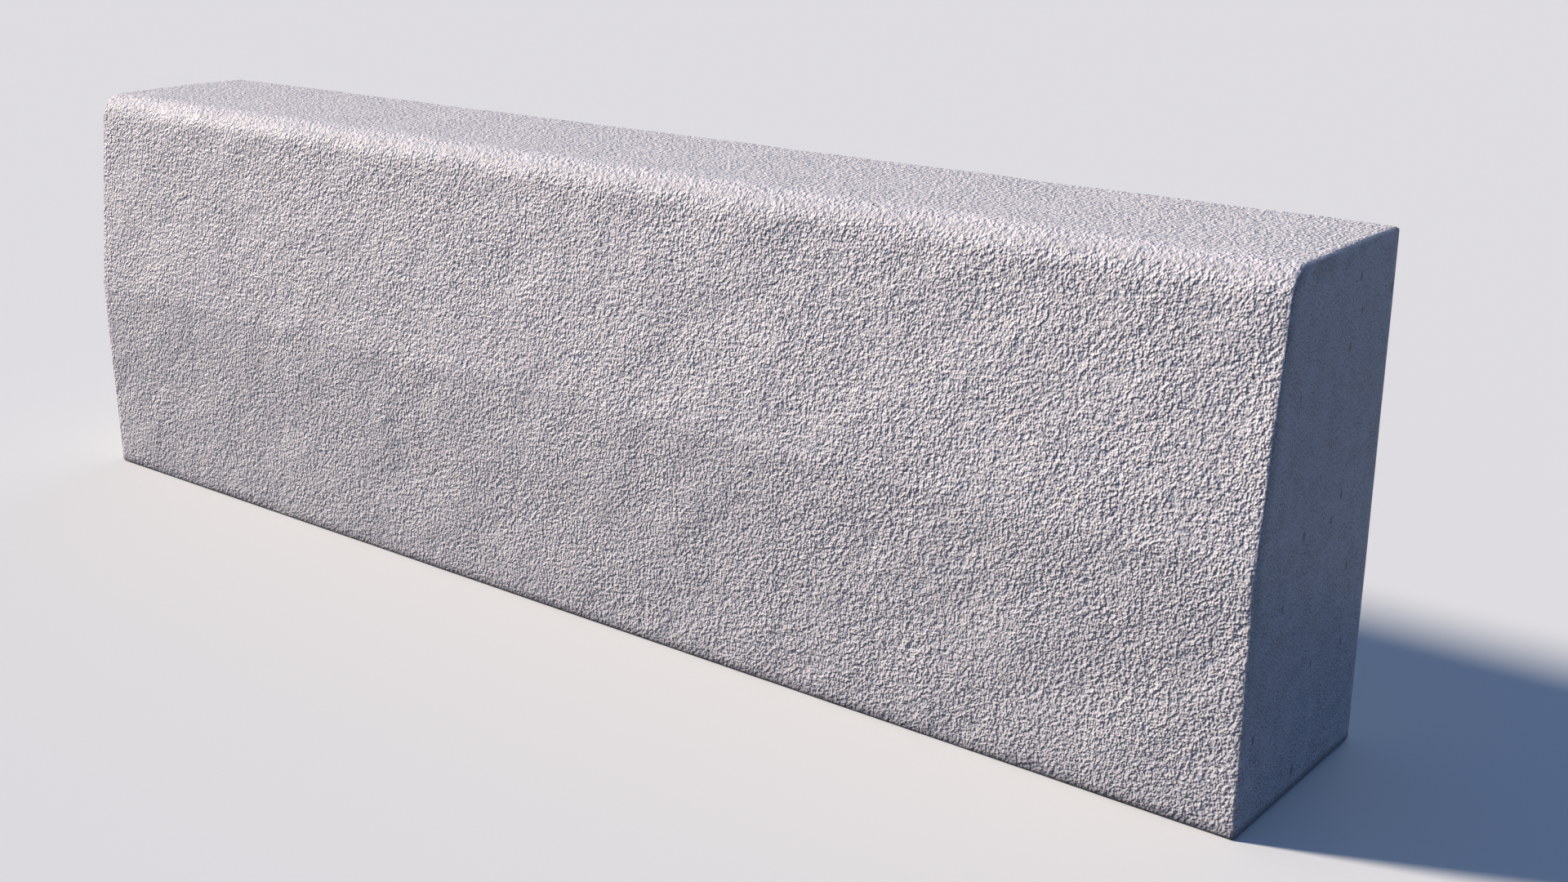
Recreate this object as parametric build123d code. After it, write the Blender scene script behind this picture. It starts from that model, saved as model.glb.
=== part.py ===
"""Road kerb stone, cast in one piece of concrete.

The section has an upright foot, a battered upper face that leans back from half height, a
rounded nose where that face meets the top, and a plain upright back. Every other edge has the
small rounded arris that the mould leaves, so that it does not chip.

Millimetres. The origin is the centre of the base. +X runs along the kerb, -Y is the road side
and +Z is up.
"""

from build123d import *
import math
import os

# Driving dimensions
LENGTH = 1000.0
BASE_WIDTH = 150.0
HEIGHT = 300.0
UPRIGHT_HEIGHT = 150.0  # from the base up to the bend where the face begins to lean back
BATTER_ANGLE = 7.0  # degrees that the upper face leans back from upright
NOSE_RADIUS = 18.5  # where the battered face meets the top
BEND_RADIUS = 30.0  # softens the bend between the upright foot and the battered face
ARRIS_RADIUS = 3.0  # all the other edges


def cross_section():
    """The outline seen from the end, drawn with Y to the right and Z up."""
    road_side = -BASE_WIDTH / 2
    path_side = BASE_WIDTH / 2
    set_back = (HEIGHT - UPRIGHT_HEIGHT) * math.tan(math.radians(BATTER_ANGLE))
    bend = Vector(road_side, UPRIGHT_HEIGHT)
    nose = Vector(road_side + set_back, HEIGHT)
    outline = Polyline(
        Vector(road_side, 0),
        bend,
        nose,
        Vector(path_side, HEIGHT),
        Vector(path_side, 0),
        close=True,
    )
    section = make_face(outline)
    for corner, radius in ((bend, BEND_RADIUS), (nose, NOSE_RADIUS)):
        section = fillet(section.vertices().sort_by_distance(corner)[0], radius)
    return section


def kerb_block():
    """The section carried along X, to each side of the origin."""
    return extrude(Plane.YZ * cross_section(), LENGTH / 2, both=True)


def arris_edges(block):
    """Both ends' outlines and the long edges of the base and the back. The nose and bend stay out."""
    ends = block.faces().sort_by(Axis.X)
    base = block.faces().sort_by(Axis.Z)[0]
    back = block.faces().sort_by(Axis.Y)[-1]
    edges = ends[0].edges() + ends[-1].edges()
    edges += base.edges().filter_by(Axis.X) + back.edges().filter_by(Axis.X).sort_by(Axis.Z)[-1:]
    return edges


def kerb_stone():
    block = kerb_block()
    return fillet(arris_edges(block), ARRIS_RADIUS)


os.makedirs("parts", exist_ok=True)
stone = kerb_stone()
stone.label = "kerb_stone"
export_step(stone, "parts/kerb_stone.step")
print("kerb_stone", stone.bounding_box().size, "litres", round(stone.volume / 1e6, 3))
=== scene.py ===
# %% [markdown]
# # A concrete road kerb
# A road kerb is cast in one piece of concrete. Its road face and top are pebbly to the touch, while
# the two ends, the back and the base keep the smoothness of the steel mould. This lesson dresses
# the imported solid: it lays one fine surface exactly over it, presses the uneven cast face into that
# surface, and gives the concrete its grain, pores and colour.
#
# The first cell loads the solid, and everything after it takes its place and size from there.

# %% Load the solid
import math

import bmesh
import bpy
import numpy as np
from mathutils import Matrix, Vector
from mathutils.geometry import delaunay_2d_cdt


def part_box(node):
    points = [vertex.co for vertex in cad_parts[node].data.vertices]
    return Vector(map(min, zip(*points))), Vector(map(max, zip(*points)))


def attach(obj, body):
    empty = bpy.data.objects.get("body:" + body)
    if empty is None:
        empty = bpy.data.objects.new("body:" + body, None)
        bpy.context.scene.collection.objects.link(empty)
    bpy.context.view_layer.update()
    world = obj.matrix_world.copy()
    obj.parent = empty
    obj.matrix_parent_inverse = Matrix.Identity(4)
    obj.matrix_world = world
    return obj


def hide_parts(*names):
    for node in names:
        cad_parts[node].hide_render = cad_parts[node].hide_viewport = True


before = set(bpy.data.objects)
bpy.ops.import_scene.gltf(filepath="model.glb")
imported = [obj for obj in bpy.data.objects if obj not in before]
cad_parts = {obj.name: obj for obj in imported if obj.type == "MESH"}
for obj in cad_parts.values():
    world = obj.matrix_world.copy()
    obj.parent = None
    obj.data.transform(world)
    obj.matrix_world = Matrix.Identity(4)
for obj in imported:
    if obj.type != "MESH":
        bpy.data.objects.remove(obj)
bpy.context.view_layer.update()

MM = 0.001
SOLID = "kerb_stone"
low, high = (np.array(corner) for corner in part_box(SOLID))
length, width, height = high - low
print("solid", np.round((length, width, height), 4), "metres")

# %% [markdown]
# ## The section
# Seen from its end the stone is a rounded polygon: an upright foot, a bend at half height, an upper
# face that leans back, a round nose, a flat top and an upright back. A polygon with a radius at
# each corner describes it in five points, so the same few numbers shape the whole length.
#
# The outline is worked out with its outward normals, because the next steps need them twice: to
# draw the section in at the ends, and to tell which points lie inside it.

# %% The section's corners and radii
BEND_HEIGHT = 150 * MM
BATTER = math.radians(7)
NOSE_RADIUS = 18.5 * MM
BEND_RADIUS = 30 * MM
ARRIS_RADIUS = 3 * MM
ARC_STEPS = {ARRIS_RADIUS: 4, NOSE_RADIUS: 12, BEND_RADIUS: 2}

FINE_STEP = 2.6 * MM
COARSE_STEP = 9 * MM

nose_y = low[1] + (height - BEND_HEIGHT) * math.tan(BATTER)
# Each corner in turn, with its radius and the step along the run that follows it
section_corners = [
    ((low[1], 0), ARRIS_RADIUS, COARSE_STEP),
    ((high[1], 0), ARRIS_RADIUS, COARSE_STEP),
    ((high[1], height), ARRIS_RADIUS, FINE_STEP),
    ((nose_y, height), NOSE_RADIUS, FINE_STEP),
    ((low[1], BEND_HEIGHT), BEND_RADIUS, FINE_STEP),
]


def rounded_outline(corners):
    """Points round a rounded polygon, drawn anticlockwise, and their outward normals.

    A corner that turns by an angle a, with radius r, has its arc's ends r * tan(a / 2) away from
    the corner along the two runs. A point on the arc is the arc's centre plus r times its normal.
    """
    places = np.array([place for place, _, _ in corners])
    onward = np.roll(places, -1, axis=0) - places
    onward /= np.linalg.norm(onward, axis=1)[:, None]
    outward = np.stack([onward[:, 1], -onward[:, 0]], axis=1)
    arcs = []
    for number, (place, radius, _) in enumerate(corners):
        before, after = outward[number - 1], outward[number]
        turn = math.acos(np.clip(before @ after, -1, 1))
        centre = place + onward[number] * radius * math.tan(turn / 2) - after * radius
        start = math.atan2(before[1], before[0])
        angles = start + np.linspace(0, turn, ARC_STEPS[radius] + 1)
        normals = np.stack([np.cos(angles), np.sin(angles)], axis=1)
        arcs.append((centre + radius * normals, normals))
    points, normals = [], []
    for number, (_, _, step) in enumerate(corners):
        arc, arc_normals = arcs[number]
        next_arc = arcs[(number + 1) % len(arcs)][0]
        run = next_arc[0] - arc[-1]
        count = max(1, round(np.linalg.norm(run) / step))
        along = np.arange(1, count)[:, None] / count
        points += [arc, arc[-1] + along * run]
        normals += [arc_normals, np.repeat(arc_normals[-1:], count - 1, axis=0)]
    return np.concatenate(points), np.concatenate(normals)


outline, outline_normals = rounded_outline(section_corners)
print("section", len(outline), "points")

# %% [markdown]
# ## The section carried along the stone
# The section runs straight along X. Near each end it follows a quarter circle, the arris: at an
# angle a along that arc the section stands r * sin(a) further out and r * (1 - cos(a)) further in.
# One array holds an inset and an X for every ring, and broadcasting it against the section gives
# all the rings at once.

# %% Rings from end to end
arc = np.linspace(0, math.pi / 2, ARC_STEPS[ARRIS_RADIUS] + 1)
straight = np.linspace(0, 1, round((length - 2 * ARRIS_RADIUS) / FINE_STEP) + 1)[1:-1]
right_x = high[0] - ARRIS_RADIUS + ARRIS_RADIUS * np.sin(arc)
right_inset = ARRIS_RADIUS * (1 - np.cos(arc))
middle_x = low[0] + ARRIS_RADIUS + straight * (length - 2 * ARRIS_RADIUS)
ring_x = np.concatenate([-right_x[::-1], middle_x, right_x])
ring_inset = np.concatenate([right_inset[::-1], np.zeros(len(middle_x)), right_inset])

side = outline[None] - ring_inset[:, None, None] * outline_normals[None]
rings, around = len(ring_x), len(outline)
tube_points = np.concatenate([np.broadcast_to(ring_x[:, None, None], (rings, around, 1)), side], axis=2)


def ring_faces(rings, around):
    """Four-sided faces between neighbouring rings, closed round the section."""
    ring = np.arange(rings - 1)[:, None] * around
    here, there = np.arange(around), (np.arange(around) + 1) % around
    corners = [ring + here, ring + around + here, ring + around + there, ring + there]
    return np.stack(corners, axis=-1).reshape(-1, 4)


tube_faces = ring_faces(rings, around)
print("rings", rings, "faces", len(tube_faces))

# %% [markdown]
# ## The two ends
# An end is a flat field inside its last ring. A fan from one middle point would draw all the
# triangles out into needles, so points are scattered over the field on a staggered lattice and a
# constrained Delaunay triangulation joins them with the ring. The section is convex, so a point is
# inside it where it lies behind every side.

# %% Fill an end
END_STEP = 5 * MM


def end_field(rim, normals):
    """Lattice points at least half a step inside the rim, in rows that are staggered by half a step."""
    rows = np.arange(0, height, END_STEP * math.sqrt(3) / 2)
    columns = np.arange(low[1], high[1], END_STEP)
    shift = (np.arange(len(rows)) % 2) * END_STEP / 2
    lattice = np.stack(np.broadcast_arrays(columns[None] + shift[:, None], rows[:, None]), axis=-1)
    lattice = lattice.reshape(-1, 2)
    depth = ((lattice[:, None] - rim[None]) * normals[None]).sum(axis=2).max(axis=1)
    return lattice[depth < -END_STEP / 2]


# The last ring without its repeated points, in order
kept = np.unique(np.round(side[-1], 7), axis=0, return_index=True)[1]
rim = side[-1][np.sort(kept)]
field = end_field(side[-1], outline_normals)
plan = [Vector(p) for p in np.concatenate([rim, field])]
joined = delaunay_2d_cdt(plan, [], [list(range(len(rim)))], 1, 1e-9)
end_plan, end_triangles = np.array([tuple(p) for p in joined[0]]), np.array(joined[2])
print("end", len(end_plan), "points", len(end_triangles), "triangles")

# %% [markdown]
# ## One closed surface
# The tube and its two ends become one mesh. Where the section's own arrises shrink to nothing at an
# end, several points of a ring fall together, so doubles are merged, and that closes the surface.

# %% Make the mesh
TOUCHING = 0.01 * MM  # points closer than this become one
NO_LENGTH = 0.001 * MM


def end_points(x):
    """The end's plan stood up at that X."""
    return np.column_stack([np.full(len(end_plan), x), end_plan])


parts = [tube_points.reshape(-1, 3), end_points(high[0]), end_points(low[0])]
starts = np.cumsum([0] + [len(part) for part in parts])
right_faces = end_triangles + starts[1]
left_faces = end_triangles[:, ::-1] + starts[2]
faces = tube_faces.tolist() + right_faces.tolist() + left_faces.tolist()
mesh = bpy.data.meshes.new("cast_kerb")
mesh.from_pydata(np.concatenate(parts), [], faces)
shell = bmesh.new()
shell.from_mesh(mesh)
bmesh.ops.remove_doubles(shell, verts=shell.verts, dist=TOUCHING)
bmesh.ops.dissolve_degenerate(shell, edges=shell.edges, dist=NO_LENGTH)
bmesh.ops.recalc_face_normals(shell, faces=shell.faces)
open_edges = sum(not edge.is_manifold for edge in shell.edges)
shell.to_mesh(mesh)
shell.free()
mesh.shade_smooth()
triangles = sum(len(polygon.vertices) - 2 for polygon in mesh.polygons)
print("mesh", len(mesh.vertices), "points", triangles, "triangles", open_edges, "open edges")

# %% [markdown]
# ## The uneven cast face
# The concrete never fills its mould quite evenly. The road face has soft hollows and swellings from
# under a centimetre to half a hand across, and light that rakes along the face shows every one.
#
# A displacement node would move the surface only in a render, and a sculpted face could not be
# repeated, so the relief is worked out here and pressed into the mesh itself. It is gradient noise
# at several cell sizes, which is smooth, has no grid to be seen and is the same on every run.

# %% Gradient noise
DIRECTIONS = 4096
CORNER_PRIMES = (73856093, 19349663, 83492791)  # they scatter a corner's three whole numbers


def gradient_noise(points, cell, seed):
    """Smooth noise between about -1 and 1.

    Space is cut into cubes. Every cube corner has its own random direction, and its value at a
    point is that direction dotted with the way from the corner to the point. The eight values
    around a point are blended by 6t^5 - 15t^4 + 10t^3 along each axis.
    """
    place = points / cell
    corner = np.floor(place).astype(np.int64)
    offset = place - corner
    fade = offset**3 * (offset * (offset * 6 - 15) + 10)
    directions = np.random.default_rng(seed).normal(size=(DIRECTIONS, 3))
    directions /= np.linalg.norm(directions, axis=1)[:, None]
    total = np.zeros(len(points))
    for step in np.ndindex(2, 2, 2):
        key = (corner + step) * CORNER_PRIMES
        drawn = directions[(key[:, 0] ^ key[:, 1] ^ key[:, 2]) % DIRECTIONS]
        weight = np.where(step, fade, 1 - fade).prod(axis=1)
        total += weight * (drawn * (offset - step)).sum(axis=1)
    return total


def layered_noise(points, cells, seed):
    """The sum of gradient noise at each cell size. Larger cells are stronger, by cell^0.9."""
    layers = enumerate(cells)
    return sum(gradient_noise(points, cell, seed + n) * (cell / cells[0]) ** 0.9 for n, cell in layers)


# %% [markdown]
# ## Pressing the relief in
# Three reliefs are mixed. The swellings of the cast face run up to the right, as the mix ran into
# the mould at a slant. Faint upright streaks cross them. The ends, back and base lay against steel
# and have only a slight waviness. The top was smoothed off and is flatter than the face.
#
# Every point moves inwards along its normal, by up to about two millimetres, so the stone stays
# inside the solid's box. An attribute called pebbled keeps where the cast skin is, for the material.

# %% Press the relief in
FACE_CELLS = np.array([6, 9, 14, 22, 34, 55]) * MM
FACE_RELIEF = 0.175 * MM
FACE_SLANT = math.radians(30)
FACE_STRETCH = (0.7, 1, 1)
FACE_SEED = 11
STREAK_CELLS = np.array([9, 15]) * MM
STREAK_RELIEF = 0.10 * MM
STREAK_STRETCH = (1, 1, 0.12)
STREAK_SEED = 41
MOULD_CELLS = np.array([20, 45]) * MM
MOULD_RELIEF = 0.08 * MM
MOULD_SEED = 71
TOP_UNEVENNESS = 0.5  # of the road face's
# How far a normal turns to the road or up where the pebbly skin begins, and where it is full
PEBBLED_FROM = 0.35
PEBBLED_FULL = 0.95


def read_vectors(collection, name):
    """One vector property of a mesh collection as rows of three."""
    values = np.empty(len(collection) * 3, np.float32)
    collection.foreach_get(name, values)
    return values.reshape(-1, 3).astype(float)


def smooth_step(value, start, end):
    """0 below start, 1 above end, and 3t^2 - 2t^3 between."""
    t = np.clip((value - start) / (end - start), 0, 1)
    return t * t * (3 - 2 * t)


def slanted(points):
    """The points turned about Y, so that their X runs up to the right along the face."""
    right, up = math.cos(FACE_SLANT), math.sin(FACE_SLANT)
    turned = np.array([[right, 0, -up], [0, 1, 0], [up, 0, right]])
    return points @ turned


points = read_vectors(mesh.vertices, "co")
normals = read_vectors(mesh.vertex_normals, "vector")
unevenness = 1 - (1 - TOP_UNEVENNESS) * smooth_step(normals[:, 2], 0.5, 1)
# 1 on the road face, nose and top, 0 on the ends, back and base
pebbled = smooth_step(np.maximum(-normals[:, 1], normals[:, 2]), PEBBLED_FROM, PEBBLED_FULL)
off_base = smooth_step(points[:, 2], 0, ARRIS_RADIUS)
face_relief = layered_noise(slanted(points) * FACE_STRETCH, FACE_CELLS, FACE_SEED) * FACE_RELIEF
face_relief += layered_noise(points * STREAK_STRETCH, STREAK_CELLS, STREAK_SEED) * STREAK_RELIEF
mould_relief = layered_noise(points, MOULD_CELLS, MOULD_SEED) * MOULD_RELIEF
face_relief = (face_relief - face_relief.min()) * unevenness
depth = pebbled * face_relief + (1 - pebbled) * (mould_relief - mould_relief.min())
points -= normals * (depth * off_base)[:, None]
mesh.vertices.foreach_set("co", points.astype(np.float32).ravel())
mesh.attributes.new("pebbled", "FLOAT", "POINT").data.foreach_set("value", pebbled.astype(np.float32))
mesh.update()
stone = bpy.data.objects.new("cast_kerb", mesh)
bpy.context.scene.collection.objects.link(stone)
spread, deepest = face_relief.std() / MM, depth.max() / MM
print("relief", round(float(spread), 3), "mm rms", round(float(deepest), 2), "mm deepest")

# %% [markdown]
# ## Nodes for the concrete
# The finish is made of a few kinds of noise, each worked out from the stone's own Object
# coordinates, so it runs round every edge without a seam and stays put when the stone is moved.
# These helpers add a node and link it in one call. Every size is given in metres on the stone.

# %% Helpers for nodes


def add_node(tree, kind, inputs=None, **settings):
    """Adds a node, applies its settings, and links or sets each input by its name or number."""
    new = tree.nodes.new(kind)
    for name, value in settings.items():
        setattr(new, name, value)
    for name, value in (inputs or {}).items():
        if isinstance(value, bpy.types.NodeSocket):
            tree.links.new(value, new.inputs[name])
        else:
            new.inputs[name].default_value = value
    return new


def noise(tree, place, cell, detail, roughness):
    """Noise between 0 and 1 whose largest lumps are about a cell across, and finer ones on top."""
    inputs = {"Vector": place, "Scale": 1 / cell, "Detail": detail, "Roughness": roughness}
    return add_node(tree, "ShaderNodeTexNoise", inputs).outputs["Fac"]


def between(tree, value, start, end, low=0.0, high=1.0):
    """Carries value from start..end to low..high along a smooth S, and holds it outside."""
    inputs = {"Value": value, "From Min": start, "From Max": end, "To Min": low, "To Max": high}
    node = add_node(tree, "ShaderNodeMapRange", inputs, interpolation_type="SMOOTHSTEP")
    return node.outputs["Result"]


def compute(tree, operation, first, second=0.0):
    """One sum of two numbers."""
    return add_node(tree, "ShaderNodeMath", {0: first, 1: second}, operation=operation).outputs[0]


def blend(tree, factor, first, second):
    """first where the factor is 0 and second where it is 1, for numbers."""
    return add_node(tree, "ShaderNodeMix", {0: factor, 2: first, 3: second}).outputs[0]


def tint(tree, factor, first, second, way="MIX"):
    """first where the factor is 0 and second where it is 1, for colours."""
    inputs = {0: factor, 6: first, 7: second}
    return add_node(tree, "ShaderNodeMix", inputs, data_type="RGBA", blend_type=way).outputs[2]


def stretched(tree, place, scale, turn=(0, 0, 0)):
    """The coordinates turned and scaled. A scale below 1 draws a pattern out along that axis."""
    inputs = {"Vector": place, "Rotation": turn, "Scale": scale}
    return add_node(tree, "ShaderNodeMapping", inputs).outputs["Vector"]


def pits(tree, place, cell, radius):
    """1 inside a scatter of small hollows, about one to a cell, and 0 elsewhere.

    Random points fill space, one to each cell, and a hollow is a ball round one of them that the
    surface cuts through, so few of them show and those that do differ in size.
    """
    inputs = {"Vector": place, "Scale": 1 / cell}
    distance = add_node(tree, "ShaderNodeTexVoronoi", inputs).outputs["Distance"]
    return between(tree, distance, 1.15 * radius / cell, 0.75 * radius / cell)


# %% [markdown]
# ## The pebbly cast face
# On the road face, nose and top the fine stuff of the concrete has come out as lumps a millimetre
# or two across, with sharp narrow creases between them. That is finer than the mesh can hold, so
# it is bump. Noise alone looks soft and woolly, and cells alone look like popcorn, so the height
# mixes three: broad swells, rough grains, and small cones packed side by side, whose feet meet in
# a net of creases. A broad noise makes the height a little flatter in some places, where the skin
# was smeared. The creases and holes are painted darker and cooler than the grains, as painted shade,
# and a few air holes and fine upright runs are left here and there.

# %% Pebbly relief
SWELL = 4.8 * MM
GRAIN = 2.4 * MM
CONE = 2.0 * MM
CONE_SHIFT = 0.8 * CONE
SMEAR = 32 * MM
PEBBLE_HEIGHT = 3.05 * MM
GRAIN_SHARE = 0.78  # of the rough part, where the swells have the rest
ROUGH_HEIGHT = 0.95
CONE_HEIGHT = 0.11
MIDDLE_HEIGHT = 0.42  # stays where it is when the height is made flatter or sharper
TOP_SHARPNESS = 1.28  # of the road face's
HOLE_DEPTH = 0.6
RUN_DEPTH = 0.6  # of a hole's


def cone_reach(tree, place):
    """How far a place is from the middle of its cone, in cells: 0 at the tip, about 0.8 at the foot.

    The place is first shifted by up to half a cell of coloured noise, so that no cone is round.
    """
    inputs = {"Vector": place, "Scale": 1 / CONE_SHIFT, "Detail": 1.0}
    shift = add_node(tree, "ShaderNodeTexNoise", inputs).outputs["Color"]
    inputs = {0: shift, 1: (CONE_SHIFT,) * 3, 2: place}
    moved = add_node(tree, "ShaderNodeVectorMath", inputs, operation="MULTIPLY_ADD").outputs[0]
    inputs = {"Vector": moved, "Scale": 1 / CONE}
    return add_node(tree, "ShaderNodeTexVoronoi", inputs).outputs["Distance"]


def pebbly_relief(tree, place, on_top):
    """The relief's height, and a mask for painted shade in its creases and holes."""
    swells = noise(tree, place, SWELL, 0, 0.5)
    grains = noise(tree, place, GRAIN, 1, 0.75)
    reach = cone_reach(tree, place)
    rough = compute(tree, "MULTIPLY", blend(tree, GRAIN_SHARE, swells, grains), ROUGH_HEIGHT)
    height = compute(tree, "SUBTRACT", rough, compute(tree, "MULTIPLY", reach, CONE_HEIGHT))
    # Smeared in some places and sharp in others
    smear = noise(tree, stretched(tree, place, (1, 1, 0.5)), SMEAR, 2, 0.6)
    sharp = between(tree, smear, 0.36, 0.6, 0.85, 1.1)
    sharp = compute(tree, "MULTIPLY", sharp, between(tree, on_top, 0, 1, 1, TOP_SHARPNESS))
    height = compute(tree, "MULTIPLY", compute(tree, "SUBTRACT", height, MIDDLE_HEIGHT), sharp)
    sunk = compute(tree, "ADD", between(tree, reach, 0.4, 0.8), between(tree, grains, 0.56, 0.36))
    # Painted shade: creases and holes are darkened as if the light did not reach into them
    crease_shade = between(tree, sunk, 0.85, 1.35)
    hole = pits(tree, place, 36 * MM, 1.7 * MM)
    run = pits(tree, stretched(tree, place, (1, 1, 0.05)), 12 * MM, 0.6 * MM)
    hole = compute(tree, "MAXIMUM", hole, compute(tree, "MULTIPLY", run, RUN_DEPTH))
    height = compute(tree, "SUBTRACT", height, compute(tree, "MULTIPLY", hole, HOLE_DEPTH))
    return height, compute(tree, "MAXIMUM", crease_shade, hole)


# %% [markdown]
# ## The smooth mould faces
# The two ends and the back lay against flat steel. They are smooth, but full of pinholes: flecks a
# millimetre or two across, thicker in some places than in others, and now and then a longer pit where
# a bubble slid up the mould. The pinholes are sunk a little by bump and painted dark as painted shade.
# The flecks are one noise whose threshold is moved up and down by a broader noise, so that they gather.

# %% Flecks and pits
FLECK = 1.05 * MM
FLECK_LEAN = (math.radians(35), 0, 0)
GATHERING = 0.16  # how far the broad noise moves the threshold
# The noise's value where a fleck begins, and where it is full
FLECK_FROM = 0.408
FLECK_FULL = 0.338
FLECK_DARKNESS = 0.82  # of a pit's


def smooth_flecks(tree, place):
    """How far a place on a smooth face is a pinhole, 0 for plain concrete and 1 for a pit; pinholes
    take painted shade.
    """
    leaning = stretched(tree, place, (1, 1.25, 0.8), FLECK_LEAN)
    specks = noise(tree, leaning, FLECK, 2, 0.6)
    gathered = noise(tree, place, 12 * MM, 2, 0.6)
    specks = compute(tree, "SUBTRACT", specks, compute(tree, "MULTIPLY", gathered, GATHERING))
    flecks = between(tree, specks, FLECK_FROM, FLECK_FULL)
    slots = pits(tree, stretched(tree, place, (1, 1, 0.4)), 13 * MM, 1.3 * MM)
    return compute(tree, "MAXIMUM", compute(tree, "MULTIPLY", flecks, FLECK_DARKNESS), slots)


# %% [markdown]
# ## The concrete
# The mesh's pebbled attribute says where the pebbly skin is, and it fades into the smooth one across
# the rounded arris. The cast skin is pale, in slightly darker and lighter patches. Its top is painted
# darker and its lowest few centimetres too, both as painted shade. The mould faces are darker and
# cooler, partly as painted shade, and lighter towards the foot as painted bounce light. Just behind
# the road-side edge of each end is a darker upright band, with darker smudges under the top edge,
# and a thin dark line along the foot is a painted contact shadow.
#
# The cast skin has a slight sheen and the mould faces are matt. How much a surface shines is best
# one plain number in a material, as other programs can't read it from nodes, so the same nodes are
# built twice with a different number, and each face of the mesh takes one of the two materials.

# %% The concrete's material
CONCRETE = (0.595, 0.579, 0.575, 1)
PATCH_CONCRETE = (0.567, 0.551, 0.55, 1)
# Painted shade: the top is painted darker to tone down the light that falls on it
TOP_SHADE_CONCRETE = (0.54, 0.527, 0.519, 1)
# Partly painted shade: the mould faces are darker and cooler, in part for the cool shade on the end
MOULD_CONCRETE_AND_SHADE = (0.37, 0.398, 0.45, 1)
# Painted light: the mould faces turn lighter towards the foot, for light bounced up from the ground
BOUNCE_LIT_MOULD = (0.48, 0.492, 0.518, 1)
# Painted shade for the creases and holes of the pebbly skin
CREASE_SHADE = (0.34, 0.37, 0.42, 1)
# Painted shade inside the pinholes and pits of the mould faces
PIT_SHADE = (0.20, 0.19, 0.19, 1)
# Painted shade near the ground: the lowest few centimetres of the cast face are darkened
FOOT_SHADE = (0.90, 0.90, 0.91, 1)
# Painted contact shadow: a thin dark line where the stone stands on the floor
CONTACT_SHADOW = (0.28, 0.29, 0.32, 1)
CONTACT_SHADOW_HEIGHT = 8.5 * MM
BOUNCE_LIGHT_HEIGHT = 240 * MM
BAND_DARKNESS = 0.28
# The mould faces' own colour is partly painted shade
MOULD_SHARE = 0.85  # how far the mould faces take their own colour
FLECK_DEPTH = 0.12
# The top's painted shade and its sharpness come in behind the nose, this far back from its corner
TOP_FROM = 12 * MM
TOP_FULL = 25 * MM
ROUGHNESS = 0.46
CAST_SHEEN = 0.21
MOULD_SHEEN = 0.08


def dark_band(tree, place):
    """1 in a narrow upright band behind the road side and in smudges under the top, and 0 elsewhere.

    The road side stands at y = low y + (z - bend height) * tan(batter) above the bend, and the
    band is measured back from there.
    """
    axes = add_node(tree, "ShaderNodeSeparateXYZ", {0: place}).outputs
    above = compute(tree, "MAXIMUM", compute(tree, "SUBTRACT", axes["Z"], BEND_HEIGHT), 0.0)
    lean = compute(tree, "MULTIPLY", above, math.tan(BATTER))
    behind = compute(tree, "SUBTRACT", compute(tree, "SUBTRACT", axes["Y"], float(low[1])), lean)
    near = between(tree, behind, 2.6 * MM, 4 * MM)
    far = between(tree, behind, 12 * MM, 4.5 * MM)
    high_up = between(tree, axes["Z"], 60 * MM, 130 * MM)
    upright = compute(tree, "MULTIPLY", compute(tree, "MULTIPLY", near, far), high_up)
    smudge = between(tree, noise(tree, place, 12 * MM, 2, 0.6), 0.42, 0.62)
    under_top = between(tree, axes["Z"], 284 * MM, 294 * MM)
    return compute(tree, "MAXIMUM", upright, compute(tree, "MULTIPLY", smudge, under_top))


def foot_shade(tree, place):
    """How much painted shade the lowest few centimetres take, for less light near the ground. It fades
    out upwards along a wavering line.
    """
    z = add_node(tree, "ShaderNodeSeparateXYZ", {0: place}).outputs["Z"]
    waver = compute(tree, "MULTIPLY", noise(tree, place, 35 * MM, 3, 0.6), 30 * MM)
    return between(tree, compute(tree, "ADD", z, waver), 55 * MM, 12 * MM)


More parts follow.
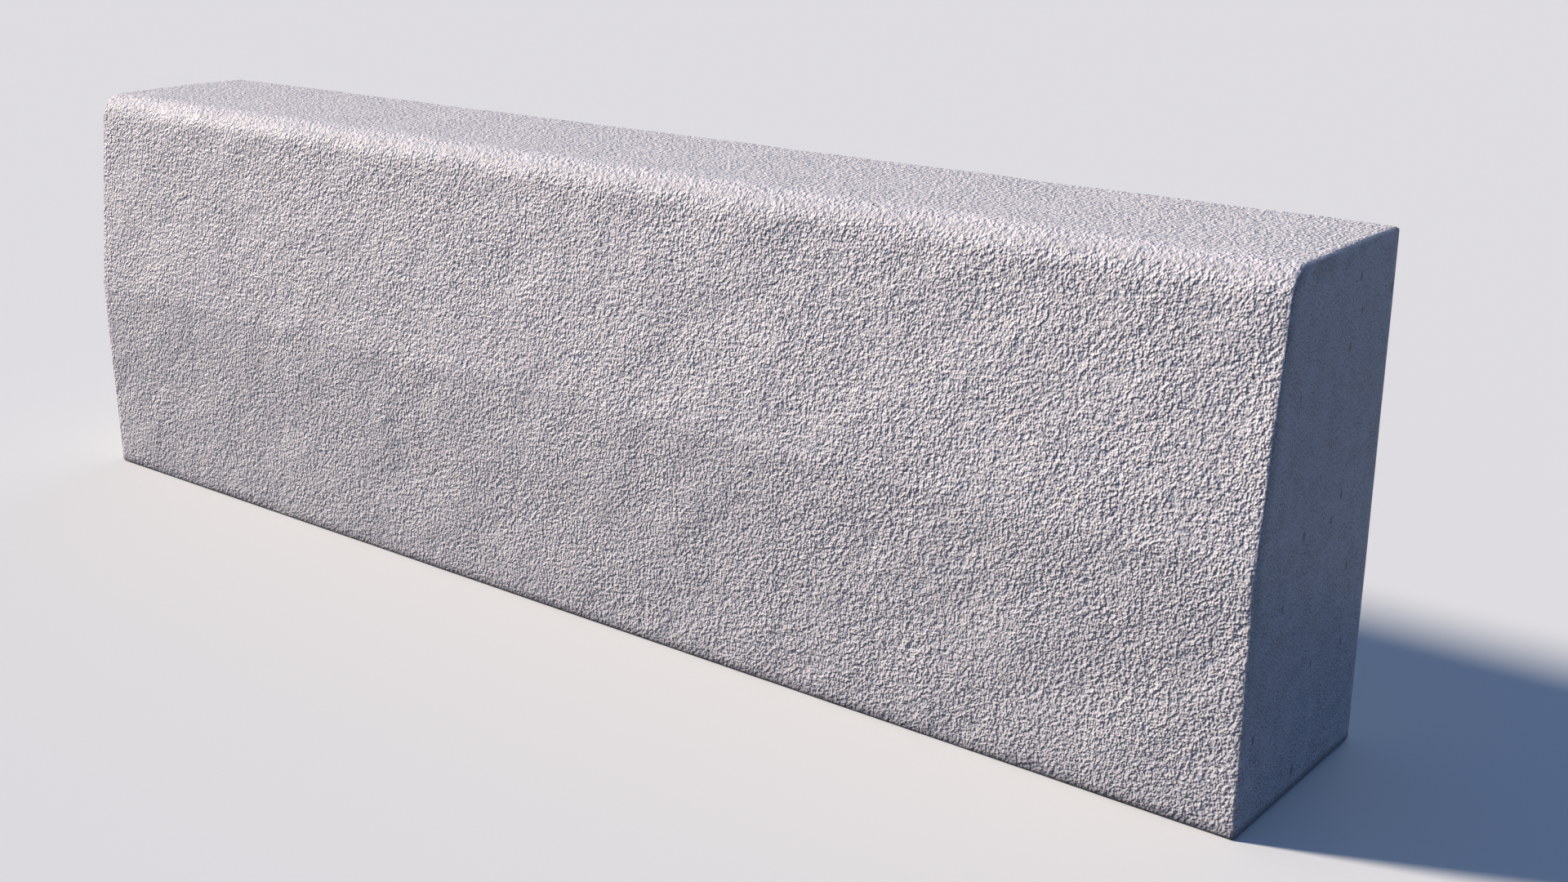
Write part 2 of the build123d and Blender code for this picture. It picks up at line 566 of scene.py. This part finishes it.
def concrete_material(name, sheen):
    """Pebbly where the mesh is pebbled, and smooth with pinholes elsewhere."""
    material = bpy.data.materials.new(name)
    material.use_nodes = True
    tree = material.node_tree
    tree.nodes.clear()
    place = add_node(tree, "ShaderNodeTexCoord").outputs["Object"]
    axes = add_node(tree, "ShaderNodeSeparateXYZ", {0: place}).outputs
    pebbly = add_node(tree, "ShaderNodeAttribute", attribute_name="pebbled").outputs["Fac"]
    on_top = between(tree, axes["Y"], float(nose_y) + TOP_FROM, float(nose_y) + TOP_FULL)
    height, crease_shade = pebbly_relief(tree, place, on_top)
    flecks = smooth_flecks(tree, place)
    height = blend(tree, pebbly, compute(tree, "MULTIPLY", flecks, -FLECK_DEPTH), height)
    inputs = {"Height": height, "Distance": PEBBLE_HEIGHT, "Strength": 1.0}
    normal = add_node(tree, "ShaderNodeBump", inputs).outputs["Normal"]

    patches = between(tree, noise(tree, place, 60 * MM, 2, 0.5), 0.3, 0.7)
    colour = tint(tree, patches, PATCH_CONCRETE, CONCRETE)
    # Painted bounce light, strongest at the foot
    painted_bounce = between(tree, axes["Z"], BOUNCE_LIGHT_HEIGHT, 0.0)
    smooth = tint(tree, painted_bounce, MOULD_CONCRETE_AND_SHADE, BOUNCE_LIT_MOULD)
    # Painted shade in the pinholes
    smooth = tint(tree, flecks, tint(tree, MOULD_SHARE, colour, smooth), PIT_SHADE)
    band_tone = compute(tree, "MULTIPLY", dark_band(tree, place), BAND_DARKNESS)
    smooth = tint(tree, band_tone, smooth, PIT_SHADE)
    # Painted shade on the top
    colour = tint(tree, on_top, colour, TOP_SHADE_CONCRETE)
    # Painted shade in the creases and holes
    colour = tint(tree, crease_shade, colour, CREASE_SHADE)
    # Painted shade along the foot of the cast face
    colour = tint(tree, foot_shade(tree, place), colour, FOOT_SHADE, "MULTIPLY")
    colour = tint(tree, pebbly, smooth, colour)
    # Painted contact shadow along the foot
    contact_shadow = between(tree, axes["Z"], CONTACT_SHADOW_HEIGHT, 0.0)
    colour = tint(tree, contact_shadow, colour, CONTACT_SHADOW, "MULTIPLY")
    skin = add_node(tree, "ShaderNodeBsdfPrincipled", {"Base Color": colour, "Normal": normal})
    skin.inputs["Roughness"].default_value = ROUGHNESS
    skin.inputs["Specular IOR Level"].default_value = sheen
    add_node(tree, "ShaderNodeOutputMaterial", {"Surface": skin.outputs["BSDF"]})
    return material


mesh.materials.append(concrete_material("cast_concrete", CAST_SHEEN))
mesh.materials.append(concrete_material("mould_concrete", MOULD_SHEEN))
facing = read_vectors(mesh.polygons, "normal")
on_mould = np.maximum(-facing[:, 1], facing[:, 2]) < (PEBBLED_FROM + PEBBLED_FULL) / 2
mesh.polygons.foreach_set("material_index", on_mould.astype(np.int32))
mesh.update()
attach(stone, "root")
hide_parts(SOLID)
for number, material in enumerate(mesh.materials):
    share = float((on_mould == number).mean())
    print(material.name, len(material.node_tree.nodes), "nodes, share of faces", round(share, 2))

# %% [markdown]
# ## The floor
# A plain pale floor keeps the stone's shadow. It has two colours: the pale one for rays that come
# from the camera, from a reflection or through glass, and a dark grey for all other rays, so that
# it throws little light back up at the stone.

# %% Floor
FLOOR_HALF = 40.0
FLOOR_SEEN = (0.58, 0.60, 0.585, 1)
FLOOR_BOUNCE = (0.085, 0.085, 0.085, 1)


def seen_rays(tree):
    """1 for rays from the camera, from a reflection or through glass, and 0 for all others."""
    rays = add_node(tree, "ShaderNodeLightPath").outputs
    seen = compute(tree, "MAXIMUM", rays["Is Camera Ray"], rays["Is Glossy Ray"])
    return compute(tree, "MAXIMUM", seen, rays["Is Transmission Ray"])


def floor_material():
    """Pale where it is seen, and dark for the light that bounces off it."""
    material = bpy.data.materials.new("pale_floor")
    material.use_nodes = True
    tree = material.node_tree
    tree.nodes.clear()
    colour = tint(tree, seen_rays(tree), FLOOR_BOUNCE, FLOOR_SEEN)
    skin = add_node(tree, "ShaderNodeBsdfDiffuse", {"Color": colour})
    add_node(tree, "ShaderNodeOutputMaterial", {"Surface": skin.outputs["BSDF"]})
    return material


floor_mesh = bpy.data.meshes.new("floor")
floor_corners = np.array([(-1, -1, 0), (1, -1, 0), (1, 1, 0), (-1, 1, 0)]) * FLOOR_HALF
floor_mesh.from_pydata(floor_corners, [], [(0, 1, 2, 3)])
floor = bpy.data.objects.new("floor", floor_mesh)
floor_mesh.materials.append(floor_material())
bpy.context.scene.collection.objects.link(floor)
print("floor", 2 * FLOOR_HALF, "metres across")

# %% [markdown]
# ## The light
# One soft, slightly warm light rakes along the road face from the left, which is what brings the
# lumps out. A cool sky fills the shade. A broad weak light from behind and a weaker cool one from
# the right open up the back and the right end. As on the floor, the sky's pale colour is only for
# rays that see it, and the light that it gives is another, dimmer one.

# %% Light
KEY_FROM = Vector((-0.82, -0.30, 0.485))
KEY_STRENGTH = 7.15
KEY_COLOUR = (1.0, 0.875, 0.785)
BACK_FROM = Vector((-0.15, 0.98, 0.12))
BACK_STRENGTH = 1.0
BACK_COLOUR = (1.0, 1.0, 1.0)
SIDE_FROM = Vector((0.97, 0.20, 0.08))
SIDE_STRENGTH = 0.32
SIDE_COLOUR = (0.40, 0.62, 1.0)
FILL_COLOUR = (0.42, 0.74, 1.55, 1)
FILL_STRENGTH = 0.235
BACKDROP = (0.724, 0.714, 0.748, 1)


def far_light(name, came_from, strength, softness, colour):
    """A lamp so far off that its rays are parallel. The softness is the lamp's width in degrees."""
    data = bpy.data.lights.new(name, "SUN")
    data.energy = strength
    data.angle = math.radians(softness)
    data.color = colour
    lamp = bpy.data.objects.new(name, data)
    lamp.rotation_mode = "QUATERNION"
    lamp.rotation_quaternion = came_from.to_track_quat("Z", "Y")
    bpy.context.scene.collection.objects.link(lamp)
    return lamp


far_light("key", KEY_FROM, KEY_STRENGTH, 8, KEY_COLOUR)
far_light("back", BACK_FROM, BACK_STRENGTH, 40, BACK_COLOUR).visible_glossy = False
far_light("side", SIDE_FROM, SIDE_STRENGTH, 40, SIDE_COLOUR).visible_glossy = False

world = bpy.data.worlds.new("sky")
world.use_nodes = True
sky = world.node_tree
sky.nodes.clear()
fill = add_node(sky, "ShaderNodeBackground", {"Color": FILL_COLOUR, "Strength": FILL_STRENGTH})
pale = add_node(sky, "ShaderNodeBackground", {"Color": BACKDROP, "Strength": 1.0})
inputs = {0: seen_rays(sky), 1: fill.outputs[0], 2: pale.outputs[0]}
both = add_node(sky, "ShaderNodeMixShader", inputs)
add_node(sky, "ShaderNodeOutputWorld", {"Surface": both.outputs[0]})
bpy.context.scene.world = world

# %% [markdown]
# ## The camera
# The camera looks at the road face and the right end from a little above. Its place and its lens
# were fitted to the stone's own edges.

# %% Camera
CAMERA_PLACE = Vector((0.8541, -0.8927, 0.4962))
CAMERA_AIM = Vector((0.2035, -0.075, 0.1584))
LENS = 43.2

camera_data = bpy.data.cameras.new("camera")
camera_data.lens = LENS
camera = bpy.data.objects.new("camera", camera_data)
camera.location = CAMERA_PLACE
camera.rotation_mode = "QUATERNION"
camera.rotation_quaternion = (CAMERA_AIM - CAMERA_PLACE).to_track_quat("-Z", "Y")
bpy.context.scene.collection.objects.link(camera)
bpy.context.scene.camera = camera
bpy.context.scene.view_settings.view_transform = "Standard"
print("camera", round((CAMERA_AIM - CAMERA_PLACE).length, 3), "metres from what it looks at")
